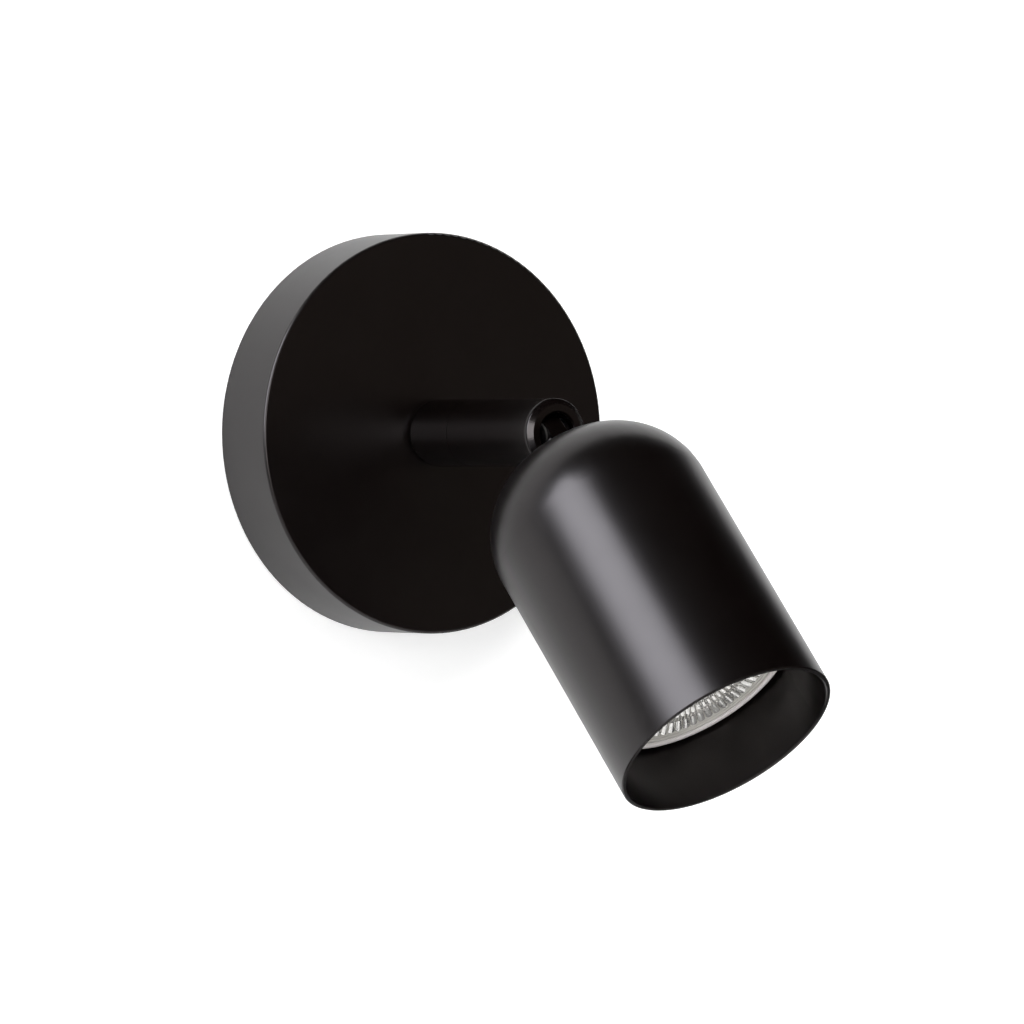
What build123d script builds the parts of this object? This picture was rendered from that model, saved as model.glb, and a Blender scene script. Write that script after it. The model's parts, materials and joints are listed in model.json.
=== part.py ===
from build123d import *
import math
import os

# Pivoting spotlight wall light. Millimetres and degrees.
# Origin: centre of the canopy's back on the wall. +X right, +Z up, the light stands out along -Y.
# Pieces are drawn in three local frames, whose Z runs out of the wall, out along the turned arm,
# and from the tilt pivot to the shade's mouth.

# ---------------------------------------------------------------- pose at rest
rest_pan = 9.0
rest_tilt = 51.5

# ---------------------------------------------------------------- canopy and wall bracket
canopy_diameter = 100.0
canopy_depth = 20.0
canopy_wall = 1.2
canopy_edge_radius = 0.8
canopy_inner_edge = 0.4
bracket_thickness = 2.0
bracket_width = 30.0
bracket_bend_radius = 1.0
ear_width = 14.0
ear_reach = 13.0
ear_gap = 0.8
ear_screw_diameter = 4.0
ear_screw_length = 7.0
ear_screw_socket = 2.0
ear_screw_inset = 0.4
ear_corner = 3.5
ear_screw_out = 8.0
wall_slot_spacing = 72.0
wall_slot_width = 4.6
wall_slot_length = 10.0
cable_hole_diameter = 14.0
grommet_wall = 2.0
grommet_lip = 2.0
grommet_lip_thickness = 1.8
grommet_bevel = 0.8

# ---------------------------------------------------------------- terminal block and earth
pole_pitch = 9.5
pole_signs = (-1, 0, 1)
terminal_up = 21.5
terminal_length = 17.0
terminal_base = 3.6
terminal_height = 13.0
barrel_diameter = 7.2
barrel_height = 5.5
tower_diameter = 5.6
clamp_place = 4.0
clamp_diameter = 2.6
clamp_length = 3.6
clamp_head_diameter = 3.2
clamp_head_height = 1.6
sleeve_diameter = 4.8
sleeve_bore = 3.0
sleeve_setback = 2.0
head_bevel = 0.4
drive_slot_width = 0.8
drive_slot_depth = 0.8
terminal_screw_diameter = 3.0
terminal_screw_head = 3.1
terminal_screw_head_height = 2.0
screw_tip_out = 0.2
earth_x = 9.5
earth_y = -20.0
earth_screw_diameter = 4.0
earth_screw_head = 7.2
earth_screw_head_height = 2.6
earth_washer_diameter = 8.0
earth_washer_thickness = 0.8
earth_washer_teeth = 10
earth_tooth_depth = 0.64
tag_thickness = 0.8
tag_neck_width = 3.0
tag_neck_length = 6.0
tag_barrel_diameter = 2.6
tag_barrel_length = 4.5
tag_barrel_place = 9.5
tag_stop = 1.0

# ---------------------------------------------------------------- collar, swivel and arm
arm_diameter = 16.8
arm_reach = 55.0
arm_edge_radius = 2.0
mouth_bevel = 0.4
collar_length = 18.0
swivel_seam = 0.15
spigot_diameter = 11.0
spigot_length = 14.0
spigot_bevel = 0.5
shank_diameter = 10.0
shank_length = 8.5
lead_bore = 6.0
collar_nut_flats = 17.0
collar_nut_height = 5.0
collar_washer_diameter = 18.0
collar_washer_thickness = 1.0
collar_washer_teeth = 12
collar_tooth_depth = 1.44
friction_ring_place = 3.0
friction_ring_width = 2.0
friction_ring_depth = 0.9
friction_ring_split = 1.0
stop_groove_place = 8.2
stop_groove_width = 3.2
stop_groove_depth = 1.4
stop_land_width = 0.8
dog_diameter = 2.0
swivel_screw_diameter = 3.0
swivel_screw_socket = 1.5
screw_inset = 0.3
socket_depth = 1.2

# ---------------------------------------------------------------- tilt joint in the arm's mouth
pivot_setback = 3.8
pivot_diameter = 2.4
pivot_thread = 4.0
pivot_socket = 2.0
pivot_blind_wall = 1.3
eye_thickness = 4.8
stem_diameter = 7.0
stem_bore = 3.6
stem_clearance = 1.5
slot_margin = 1.6
swing_gap = 0.3
friction_washer_diameter = 6.0
friction_washer_thickness = 0.5

# ---------------------------------------------------------------- shade and its fixings
crown_clearance = 0.3206
shade_length = 87.5
shade_wall = 1.2
shade_corner = 22.0
mouth_edge = 0.25
stem_thread = 6.0
stem_thread_length = 7.2
stem_flange_clearance = 0.4
stem_flange_thickness = 1.0
crown_washer_diameter = 11.0
crown_washer_thickness = 1.0
stem_nut_flats = 10.0
stem_nut_height = 3.2
nut_bevel = 0.5
strip_thickness = 1.0
strip_width = 12.0
strip_half_length = 10.0
foot_margin = 2.7
foot_corner = 2.5

# ---------------------------------------------------------------- lampholder
holder_height = 13.2
holder_flange = 4.0
holder_flange_width = 17.0
holder_flange_margin = 0.5
holder_diameter = 22.0
holder_bevel = 0.8
holder_plate = 3.6
holder_chamber = 5.4
holder_screw_gap = 0.5
holder_screw_diameter = 3.0
holder_screw_head = 5.2
holder_screw_head_height = 2.2
holder_screw_past = 1.2
chamber_margin = 1.0
keyway_margin = 0.5
contact_thickness = 0.4
contact_width = 3.4
contact_depth = 3.6

# ---------------------------------------------------------------- lamp
lamp_recess = 17.2
lamp_gap = 1.4
lamp_diameter = 50.8
lamp_length = 45.3
pin_spacing = 10.0
pin_head_diameter = 5.0
pin_head_length = 2.6
pin_head_bevel = 0.4
pin_neck_diameter = 3.0
pin_length = 7.0
pin_seat = 4.0
bayonet_turn = 20.0
locked_angles = (90.0, 270.0)
base_diameter = 19.6
base_bevel = 0.6
base_flange_diameter = 26.0
base_flange_place = 9.6
base_flange_thickness = 2.5
housing_wall = 1.6
housing_flare = 0.62
bezel_height = 2.5
bezel_width = 2.8
bezel_edge = 0.7
board_depth = 11.7
board_thickness = 1.6
board_ledge = 1.4
chip_size = 3.2
chip_height = 0.7
chip_circle = 24.0
chip_count = 6
lens_thickness = 1.5
lens_setback = 0.9
lens_step = 0.5
lens_rim_width = 1.6
lens_boss = 6.0
lens_ribs = 24
lens_rings = 2
lens_groove = 0.7

# ---------------------------------------------------------------- leads
lead_diameter = 1.6
lead_offset = 0.95
lead_bend_radius = 4.6
head_lead_bend = 2.6
earth_bend = 8.0
lead_gap = 0.3
lead_space = 5.0

# ---------------------------------------------------------------- clearances
running_fit = 0.05
thread_fit = 0.02
loose_fit = 0.1
face_gap = 0.05
over = 1.0

# ---------------------------------------------------------------- places that follow from the sizes
canopy_radius = canopy_diameter / 2
canopy_inner_radius = canopy_radius - canopy_wall
canopy_face_inside = canopy_depth - canopy_wall
ear_seat = canopy_inner_radius - ear_gap
barrel_out = bracket_thickness + barrel_height
arm_radius = arm_diameter / 2
arm_bore = stem_diameter + 2 * stem_clearance
bore_radius = arm_bore / 2
spigot_radius = spigot_diameter / 2
seam_out = canopy_depth + collar_length
arm_back = seam_out + swivel_seam
arm_end = canopy_depth + arm_reach
spigot_end = seam_out + spigot_length
pivot_out = arm_end - pivot_setback
stop_out = seam_out + stop_groove_place
stop_floor = spigot_radius - stop_groove_depth
dog_out = stop_out + stop_groove_width / 2

eye_radius = stem_diameter / 2
eye_half = eye_thickness / 2
pivot_hole = pivot_diameter + 2 * running_fit
shoulder = friction_washer_diameter / 2 + swing_gap
slot_run = bore_radius + slot_margin
stem_flange_diameter = arm_bore - 2 * stem_flange_clearance
duct_half_width = lead_diameter / 2 + loose_fit
duct_half_height = pivot_diameter / 2 + lead_diameter + 2 * loose_fit

# the crown clears the rounded lip beside the slot over the whole swing
lip_height = math.sqrt(arm_radius ** 2 - bore_radius ** 2) - arm_edge_radius
lip_reach = math.hypot(lip_height, pivot_setback - arm_edge_radius) + arm_edge_radius
pivot_to_crown = lip_reach + crown_clearance
crown_inside = pivot_to_crown + shade_wall
mouth = pivot_to_crown + shade_length
thread_end = pivot_to_crown + stem_thread_length
strip_out = crown_inside + crown_washer_thickness
nut_out = strip_out + strip_thickness
stem_hole = stem_thread + 2 * thread_fit

lamp_front = mouth - lamp_recess
lamp_back = lamp_front - lamp_length
lamp_radius = lamp_diameter / 2
shade_diameter = lamp_diameter + 2 * (lamp_gap + shade_wall)
pin_tip = lamp_back - pin_length
base_flange_out = lamp_back + base_flange_place
base_end = base_flange_out + base_flange_thickness
bezel_out = lamp_front - bezel_height
lens_out = bezel_out - lens_thickness
board_out = lamp_front - board_depth
lens_radius = lamp_radius - housing_wall - loose_fit
board_radius = lens_radius - board_ledge
holder_front = lamp_back - 2 * loose_fit
holder_out = holder_front - holder_height
holder_screw_place = (holder_diameter + holder_screw_head) / 2 + holder_screw_gap
foot_reach = holder_screw_place + foot_margin
plate_back = holder_front - holder_plate
chamber_floor = plate_back - holder_chamber

wall_frame = Plane(origin=(0, 0, 0), x_dir=(1, 0, 0), z_dir=(0, -1, 0)).location
arm_frame = wall_frame * Location((0, 0, 0), (0, 0, rest_pan))
head_frame = arm_frame * Location((0, 0, pivot_out)) * Location((0, 0, 0), (rest_tilt, 0, 0))

UPWARD = (Align.CENTER, Align.CENTER, Align.MIN)


# ---------------------------------------------------------------- shared forms
def save(name, frame, *solids):
    """Write one named piece, or a group of like pieces, placed from its local frame."""
    placed = [frame * solid for solid in solids]
    shape = placed[0] if len(placed) == 1 else Compound(children=placed)
    export_step(shape, f"parts/{name}.step")


def rod(diameter, start, end, x=0.0, y=0.0):
    """Round bar along Z between two heights."""
    return Pos(x, y, start) * Cylinder(diameter / 2, end - start, align=UPWARD)


def cross_rod(diameter, start, end, y=0.0, z=0.0):
    """Round bar along X between two places."""
    return Pos(start, y, z) * Rot(0, 90, 0) * Cylinder(diameter / 2, end - start, align=UPWARD)


def upright_rod(diameter, length, x, y, z):
    """Round bar along Y, centred on a point."""
    return Pos(x, y, z) * Rot(90, 0, 0) * Cylinder(diameter / 2, length)


def block(x_size, y_size, start, end, x=0.0, y=0.0):
    """Square bar standing on a height, centred in X and Y."""
    return Pos(x, y, start) * Box(x_size, y_size, end - start, align=UPWARD)


def hexagon(flats, start, end):
    """Hexagonal bar along Z, given by its width across the flats."""
    return Pos(0, 0, start) * extrude(RegularPolygon(flats / 2, 6, major_radius=False), end - start)


def turned(*outline):
    """Solid of revolution about Z from the lines of its half section, drawn in (radius, height)."""
    edges = [edge for piece in outline for edge in piece.edges()]
    return revolve(Plane.XZ * make_face(edges), Axis.Z)


def turned_points(*points):
    """Solid of revolution about Z whose half section is a polygon of (radius, height) points."""
    return turned(Polyline(*points, close=True))


def ring(inner, outer, start, end):
    """Square-section ring about Z, given by its radii."""
    return turned_points((inner, start), (outer, start), (outer, end), (inner, end))


def hex_nut(flats, hole, start, end):
    """Hexagon nut with bevelled corners on both faces."""
    corner = flats / math.sqrt(3)
    blank = turned_points((0, start), (corner - nut_bevel, start), (corner, start + nut_bevel),
                          (corner, end - nut_bevel), (corner - nut_bevel, end), (0, end))
    return (hexagon(flats, start, end) & blank) - rod(hole, start - over, end + over)


def toothed_washer(diameter, hole, start, end, teeth, depth):
    """Flat washer whose rim is cut into square teeth, as wide as the gaps between them."""
    width = diameter * math.pi / teeth / 2
    washer = rod(diameter, start, end) - rod(hole, start - over, end + over)
    notch = block(width, 2 * depth, start - over, end + over, y=diameter / 2)
    return washer - [Rot(0, 0, 360 / teeth * tooth) * notch for tooth in range(teeth)]


def cheese_screw(diameter, head_diameter, head_height, seat, tip, x=0.0, y=0.0):
    """Slotted screw along Z: the bevelled head stands on the seat, the shank ends at the tip."""
    top = seat + head_height
    shank = diameter / 2
    head = head_diameter / 2
    body = turned_points((0, tip), (shank, tip), (shank, seat), (head, seat), (head, top - head_bevel),
                         (head - head_bevel, top), (0, top))
    slot = block(head_diameter + over, drive_slot_width, top - drive_slot_depth, top + over)
    return Pos(x, y, 0) * (body - slot)


def lead(points, radii=None):
    """Insulated wire along straight runs joined by tangent arcs."""
    path = FilletPolyline(*points, radius=radii) if radii else Line(*points)
    return sweep((path ^ 0) * Circle(lead_diameter / 2), path=path)


# ---------------------------------------------------------------- wall side
def make_wall_bracket():
    """Strap with two forward ears that carry the canopy's set screws."""
    inside = ear_seat - bracket_thickness
    bend = bracket_bend_radius
    cut = (bracket_width - ear_width) / 2
    bracket = block(bracket_width, 2 * ear_seat, 0, bracket_thickness)
    for side in (1, -1):
        for hand in (1, -1):
            bracket -= block(cut, 2 * (cut + bracket_thickness), -over, ear_reach,
                             hand * (bracket_width - cut) / 2, side * ear_seat)
        ear = block(ear_width, bracket_thickness, 0, ear_reach, y=side * (inside + bracket_thickness / 2))
        ear = fillet(ear.edges().filter_by(Axis.Y).group_by(Axis.Z)[-1], ear_corner)
        web = block(ear_width, bend, bracket_thickness, bracket_thickness + bend, y=side * (inside - bend / 2))
        web -= cross_rod(2 * bend, -bracket_width, bracket_width, side * (inside - bend),
                         bracket_thickness + bend)
        hole = Pos(0, 0, ear_screw_out) * Rot(-90 * side, 0, 0)
        slot = extrude(SlotOverall(wall_slot_length, wall_slot_width, rotation=90), bracket_thickness)
        bracket += ear + web
        bracket -= hole * rod(ear_screw_diameter + 2 * thread_fit, inside - over, ear_seat + over)
        bracket -= Pos(0, side * wall_slot_spacing / 2, 0) * slot
    top = bracket_thickness + over
    bracket -= rod(cable_hole_diameter, -over, top)
    bracket -= rod(earth_screw_diameter + 2 * thread_fit, -over, top, earth_x, earth_y)
    bracket -= rod(terminal_screw_diameter + 2 * thread_fit, -over, top, -pole_pitch / 2, terminal_up)
    return bracket


def make_canopy():
    """Drawn cup: flat face, rolled edge, centre hole for the shank and two rim holes."""
    edge = canopy_edge_radius
    rim = canopy_inner_radius
    face = canopy_face_inside
    shell = turned(
        Line((0, canopy_depth), (canopy_radius - edge, canopy_depth)),
        CenterArc((canopy_radius - edge, canopy_depth - edge), edge, 0, 90),
        Polyline((canopy_radius, canopy_depth - edge), (canopy_radius, 0), (rim, 0),
                 (rim, face - canopy_inner_edge), (rim - canopy_inner_edge, face), (0, face),
                 (0, canopy_depth)),
    )
    shell -= rod(shank_diameter + 2 * loose_fit, face - over, canopy_depth + over)
    for side in (1, -1):
        hole = Pos(0, 0, ear_screw_out) * Rot(-90 * side, 0, 0)
        shell -= hole * rod(ear_screw_diameter + 2 * loose_fit, rim - over, canopy_radius + over)
    return shell


def make_canopy_screws():
    """Two socket set screws, top and bottom, from the canopy's rim into the bracket's ears."""
    outer = canopy_radius - ear_screw_inset
    screw = rod(ear_screw_diameter, outer - ear_screw_length, outer)
    screw = chamfer(screw.edges().group_by(Axis.Z)[0], ear_screw_inset)
    screw -= hexagon(ear_screw_socket, outer - ear_screw_socket, outer)
    return [Pos(0, 0, ear_screw_out) * Rot(-90 * side, 0, 0) * screw for side in (1, -1)]


def make_grommet():
    """Bushing in the bracket's cable hole."""
    hole = cable_hole_diameter / 2 - loose_fit
    bore = cable_hole_diameter / 2 - grommet_wall
    lip = cable_hole_diameter / 2 + grommet_lip
    top = bracket_thickness + grommet_lip_thickness
    return turned_points((bore, 0), (hole, 0), (hole, bracket_thickness), (lip, bracket_thickness),
                         (lip, top - grommet_bevel), (lip - grommet_bevel, top), (bore, top))


def make_terminal_block():
    """Three-pole block: a base, three barrels and six screw towers."""
    top = bracket_thickness + terminal_height
    base_top = bracket_thickness + terminal_base
    body = block(3 * pole_pitch, terminal_length, bracket_thickness, base_top, y=terminal_up)
    for pole in pole_signs:
        x = pole * pole_pitch
        body += upright_rod(barrel_diameter, terminal_length, x, terminal_up, barrel_out)
        body += block(barrel_diameter, terminal_length, bracket_thickness, barrel_out, x, terminal_up)
        for side in (1, -1):
            body += rod(tower_diameter, barrel_out, top, x, terminal_up + side * clamp_place)
    for pole in pole_signs:
        x = pole * pole_pitch
        body -= upright_rod(sleeve_diameter + 2 * thread_fit, terminal_length + over, x, terminal_up,
                            barrel_out)
        for side in (1, -1):
            body -= rod(clamp_head_diameter + 2 * loose_fit, barrel_out, top + over, x,
                        terminal_up + side * clamp_place)
    for side in (1, -1):
        body -= rod(terminal_screw_head + 2 * thread_fit, 0, top, side * pole_pitch / 2, terminal_up)
    return body


def make_terminal_sleeves():
    """Three brass tubes with two tapped holes each."""
    length = terminal_length - 2 * sleeve_setback
    sleeves = []
    for pole in pole_signs:
        x = pole * pole_pitch
        sleeve = upright_rod(sleeve_diameter, length, x, terminal_up, barrel_out)
        sleeve -= upright_rod(sleeve_bore, length + over, x, terminal_up, barrel_out)
        for side in (1, -1):
            y = terminal_up + side * clamp_place
            sleeve -= rod(clamp_diameter + 2 * thread_fit, barrel_out, barrel_out + sleeve_diameter, x, y)
        sleeves.append(sleeve)
    return sleeves


def make_terminal_screws():
    """Six clamp screws, one in each tapped hole of the sleeves."""
    tip = barrel_out + lead_diameter / 2
    seat = tip + clamp_length
    places = [(pole * pole_pitch, terminal_up + side * clamp_place)
              for pole in pole_signs for side in (1, -1)]
    return [cheese_screw(clamp_diameter, clamp_head_diameter, clamp_head_height, seat, tip, x, y)
            for x, y in places]


def make_terminal_fixing():
    """Screw through the terminal block's base into the bracket."""
    seat = bracket_thickness + terminal_base
    return cheese_screw(terminal_screw_diameter, terminal_screw_head, terminal_screw_head_height, seat,
                        screw_tip_out, -pole_pitch / 2, terminal_up)


def make_earth_washer():
    """Toothed washer between the tag and the bracket."""
    top = bracket_thickness + earth_washer_thickness
    hole = earth_screw_diameter + 2 * loose_fit
    washer = toothed_washer(earth_washer_diameter, hole, bracket_thickness, top, earth_washer_teeth,
                            earth_tooth_depth)
    return Pos(earth_x, earth_y, 0) * washer


def make_earth_tag():
    """Ring tag crimped on the earth lead, under the earth screw."""
    seat = bracket_thickness + earth_washer_thickness
    top = seat + tag_thickness
    y = earth_y + tag_barrel_place
    level = seat + tag_barrel_diameter / 2
    tag = rod(earth_washer_diameter, seat, top, earth_x, earth_y)
    tag += block(tag_neck_width, tag_neck_length, seat, top, earth_x, y - tag_barrel_length / 2 - over)
    tag += upright_rod(tag_barrel_diameter, tag_barrel_length, earth_x, y, level)
    tag -= upright_rod(lead_diameter + 2 * thread_fit, tag_barrel_length, earth_x, y + tag_stop, level)
    return tag - rod(earth_screw_diameter + 2 * loose_fit, 0, top + over, earth_x, earth_y)


def make_earth_screw():
    """Screw that clamps the earth tag to the bracket."""
    seat = bracket_thickness + earth_washer_thickness + tag_thickness
    return cheese_screw(earth_screw_diameter, earth_screw_head, earth_screw_head_height, seat, screw_tip_out,
                        earth_x, earth_y)


# ---------------------------------------------------------------- collar and swivel
def make_collar():
    """Fixed foot of the arm: shank, rounded body, hollow spigot with a ring groove and a stop groove."""
    edge = arm_edge_radius
    bore = lead_bore / 2
    back = canopy_depth - shank_length
    shank = shank_diameter / 2
    body = turned(
        Polyline((bore, back), (shank, back), (shank, canopy_depth), (arm_radius - edge, canopy_depth)),
        CenterArc((arm_radius - edge, canopy_depth + edge), edge, -90, 90),
        Polyline((arm_radius, canopy_depth + edge), (arm_radius, seam_out), (spigot_radius, seam_out),
                 (spigot_radius, spigot_end - spigot_bevel), (spigot_radius - spigot_bevel, spigot_end),
                 (bore, spigot_end), (bore, back)),
    )
    ring_out = seam_out + friction_ring_place
    ring_end = ring_out + friction_ring_width
    body -= ring(spigot_radius - friction_ring_depth, spigot_radius + over, ring_out, ring_end)
    groove = ring(stop_floor, spigot_radius + over, stop_out, stop_out + stop_groove_width)
    land = block(stop_land_width, spigot_radius, stop_out, stop_out + stop_groove_width, y=spigot_radius)
    return body - (groove - land)


def make_friction_ring():
    """Split nylon ring in the spigot's first groove."""
    start = seam_out + friction_ring_place + face_gap
    end = start + friction_ring_width - 2 * face_gap
    split = block(friction_ring_split, spigot_diameter, start - over, end + over, y=-spigot_radius)
    return ring(spigot_radius - friction_ring_depth + face_gap, spigot_radius, start, end) - split


def make_collar_washer():
    """Toothed washer behind the canopy's face."""
    hole = shank_diameter + 2 * thread_fit
    seat = canopy_face_inside - collar_washer_thickness
    return toothed_washer(collar_washer_diameter, hole, seat, canopy_face_inside, collar_washer_teeth,
                          collar_tooth_depth)


def make_collar_nut():
    """Nut that holds the collar's shank in the canopy."""
    seat = canopy_face_inside - collar_washer_thickness
    return hex_nut(collar_nut_flats, shank_diameter + 2 * thread_fit, seat - collar_nut_height, seat)


# ---------------------------------------------------------------- arm
def make_arm():
    """Turned bar: seat for the spigot, lead bore, rounded lip and the slot that lets the stem swing down."""
    edge = arm_edge_radius
    socket = spigot_radius + running_fit
    socket_end = spigot_end + spigot_bevel
    body = turned(
        Polyline((socket, arm_back), (arm_radius, arm_back), (arm_radius, arm_end - edge)),
        CenterArc((arm_radius - edge, arm_end - edge), edge, 0, 90),
        Polyline((arm_radius - edge, arm_end), (bore_radius + mouth_bevel, arm_end),
                 (bore_radius, arm_end - mouth_bevel), (bore_radius, socket_end), (socket, socket_end),
                 (socket, arm_back)),
    )
    depth = arm_radius + over
    turn = pivot_out - slot_run + bore_radius
    body -= block(arm_bore, depth, turn, arm_end + over, y=-depth / 2)
    body -= upright_rod(arm_bore, depth, 0, -depth / 2, turn)
    body -= cross_rod(pivot_hole, -(arm_radius - pivot_blind_wall), 0, z=pivot_out)
    body -= cross_rod(pivot_thread + 2 * thread_fit, 0, depth, z=pivot_out)
    body -= upright_rod(swivel_screw_diameter + 2 * thread_fit, depth, 0, -depth / 2, dog_out)
    return body


def make_swivel_screw():
    """Socket set screw under the arm whose dog point runs in the collar's stop groove."""
    outer = arm_radius - screw_inset
    step = spigot_radius + screw_inset
    body = rod(dog_diameter, stop_floor + loose_fit, step) + rod(swivel_screw_diameter, step, outer)
    body -= hexagon(swivel_screw_socket, outer - socket_depth, outer)
    return Pos(0, 0, dog_out) * Rot(90, 0, 0) * body


def make_pivot_screw():
    """Pivot of the tilt joint: plain shank, threaded end with a socket, flush with the arm's side."""
    outer = arm_radius - screw_inset
    inner = arm_radius - pivot_blind_wall - loose_fit
    screw = cross_rod(pivot_diameter, -inner, bore_radius, z=pivot_out)
    screw += cross_rod(pivot_thread, bore_radius, outer, z=pivot_out)
    return screw - Pos(outer, 0, pivot_out) * Rot(0, -90, 0) * hexagon(pivot_socket, 0, socket_depth)


def pivot_pair(start, end):
    """A pair of like rings on the pivot, one on each side of the eye."""
    tube = cross_rod(friction_washer_diameter, start, end, z=pivot_out)
    tube -= cross_rod(pivot_hole, start - over, end + over, z=pivot_out)
    return [tube, Rot(0, 0, 180) * tube]


def make_friction_washers():
    """Nylon washers that rub on the eye's flat sides."""
    start = eye_half + face_gap
    return pivot_pair(start, start + friction_washer_thickness)


def make_spacers():
    """Metal spacers between the friction washers and the bore's wall."""
    start = eye_half + 2 * face_gap + friction_washer_thickness
    end = math.sqrt(bore_radius ** 2 - (friction_washer_diameter / 2) ** 2) - face_gap
    return pivot_pair(start, end)


# ---------------------------------------------------------------- knuckle and shade
def make_knuckle():
    """Eye with a lead duct round the pivot, round stem, seat flange and hollow thread, in one piece."""
    body = cross_rod(stem_diameter, -eye_half, eye_half)
    body += block(eye_thickness, stem_diameter, 0, shoulder + stem_flange_thickness)
    body += rod(stem_diameter, shoulder, pivot_to_crown - stem_flange_thickness)
    body += rod(stem_flange_diameter, pivot_to_crown - stem_flange_thickness, pivot_to_crown)
    body += rod(stem_thread, pivot_to_crown, thread_end)
    body -= rod(stem_bore, 0, thread_end + over)
    body -= block(2 * duct_half_width, 2 * duct_half_height, -eye_radius - over, duct_half_height)
    return body - cross_rod(pivot_hole, -eye_half - over, eye_half + over)


def make_shade():
    """Drawn cup: flat land for the stem, round corner, long cylinder, open mouth."""
    radius = shade_diameter / 2
    inner = radius - shade_wall
    land = radius - shade_corner
    side = pivot_to_crown + shade_corner
    shell = turned(
        Line((0, pivot_to_crown), (land, pivot_to_crown)),
        CenterArc((land, side), shade_corner, -90, 90),
        Polyline((radius, side), (radius, mouth - mouth_edge), (radius - mouth_edge, mouth),
                 (inner + mouth_edge, mouth), (inner, mouth - mouth_edge), (inner, side)),
        CenterArc((land, side), shade_corner - shade_wall, 0, -90),
        Polyline((land, crown_inside), (0, crown_inside), (0, pivot_to_crown)),
    )
    return shell - rod(stem_thread + 2 * loose_fit, pivot_to_crown - over, crown_inside + over)


def make_crown_washer():
    """Plain washer under the bracket strip."""
    washer = rod(crown_washer_diameter, crown_inside, strip_out)
    return washer - rod(stem_hole, crown_inside - over, strip_out + over)


def make_stem_nut():
    """Nut that clamps the shade and the bracket strip on the stem."""
    return hex_nut(stem_nut_flats, stem_hole, nut_out, nut_out + stem_nut_height)


# ---------------------------------------------------------------- lampholder and its bracket
def make_holder_bracket():
    """Hat-shaped strip on the stem's thread: top plate, two legs, two tapped feet."""
    strip = block(strip_width, 2 * strip_half_length, strip_out, nut_out)
    foot = holder_out - strip_thickness
    for side in (1, -1):
        leg_y = side * (strip_half_length - strip_thickness / 2)
        foot_y = side * (strip_half_length + foot_reach) / 2
        strip += block(strip_width, strip_thickness, strip_out, holder_out, y=leg_y)
        strip += block(strip_width, foot_reach - strip_half_length, foot, holder_out, y=foot_y)
        strip -= rod(holder_screw_diameter + 2 * thread_fit, foot - over, holder_out + over,
                     y=side * holder_screw_place)
    edges = strip.edges().filter_by(Axis.Z)
    outer = edges.group_by(lambda edge: round(abs(edge.center().Y), 3))[-1]
    return fillet(outer, foot_corner) - rod(stem_hole, strip_out - over, nut_out + over)


def make_holder_screws():
    """Two screws from the lampholder's flange into the bracket's feet."""
    tip = holder_out - strip_thickness - holder_screw_past
    return [cheese_screw(holder_screw_diameter, holder_screw_head, holder_screw_head_height,
                         holder_out + holder_flange, tip, y=side * holder_screw_place) for side in (1, -1)]


def make_lampholder():
    """Ceramic holder: oval flange, round body, two bayonet slots over wide chambers, lead holes behind."""
    outline = SlotOverall(2 * (foot_reach + holder_flange_margin), holder_flange_width, rotation=90)
    body = Pos(0, 0, holder_out) * extrude(outline, holder_flange)
    body += rod(holder_diameter, holder_out, holder_front)
    body = chamfer(body.edges().filter_by(GeomType.CIRCLE).group_by(Axis.Z)[-1], holder_bevel)
    pin_radius = pin_spacing / 2
    for angle in locked_angles:
        turn = Rot(0, 0, angle)
        path = CenterArc((0, 0), pin_radius, angle, bayonet_turn)
        chamber = extrude(SlotArc(path, pin_head_diameter + chamber_margin), plate_back - chamber_floor)
        keyway = extrude(SlotArc(path, pin_neck_diameter + keyway_margin), holder_plate + 2 * over)
        entry = rod(pin_head_diameter + keyway_margin, plate_back - over, holder_front + over, x=pin_radius)
        body -= Pos(0, 0, chamber_floor) * chamber
        body -= Pos(0, 0, plate_back - over) * keyway
        body -= Rot(0, 0, angle + bayonet_turn) * entry
        body -= turn * rod(lead_diameter + 2 * loose_fit, holder_out - over, chamber_floor + over, x=pin_radius)
        body -= turn * rod(holder_screw_diameter + 2 * loose_fit, holder_out - over,
                           holder_out + holder_flange + over, x=holder_screw_place)
    return body


def make_contacts():
    """Two folded contact leaves that press on the lamp's pins."""
    start = chamber_floor + face_gap
    end = pin_tip - face_gap
    leaves = []
    for side in (1, -1):
        y = side * pin_spacing / 2
        leaf = block(contact_width, contact_depth, start, start + contact_thickness, y=y)
        leaf += block(contact_thickness, contact_depth, start, end, (contact_thickness - contact_width) / 2, y)
        leaf += block(contact_width, contact_depth, end - contact_thickness, end, y=y)
        leaves.append(leaf)
    return leaves


# ---------------------------------------------------------------- lamp
def make_lamp_base():
    """Moulded base: spigot for the holder, flange under the housing, sockets for the pins."""
    radius = base_diameter / 2
    flange = base_flange_diameter / 2
    base = turned_points((0, lamp_back), (radius - base_bevel, lamp_back), (radius, lamp_back + base_bevel),
                         (radius, base_flange_out), (flange, base_flange_out + base_bevel),
                         (flange, base_end), (0, base_end))
    socket = rod(pin_neck_diameter + 2 * thread_fit, lamp_back - over, lamp_back + pin_seat, x=pin_spacing / 2)
    return base - [Rot(0, 0, angle) * socket for angle in locked_angles]


def make_lamp_pins():
    """Two stepped pins: a wide head behind a narrow neck."""
    head = rod(pin_head_diameter, pin_tip, pin_tip + pin_head_length, x=pin_spacing / 2)
    head = chamfer(head.edges().filter_by(GeomType.CIRCLE), pin_head_bevel)
    pin = head + rod(pin_neck_diameter, pin_tip + pin_head_length, lamp_back + pin_seat, x=pin_spacing / 2)
    return [Rot(0, 0, angle) * pin for angle in locked_angles]


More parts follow.
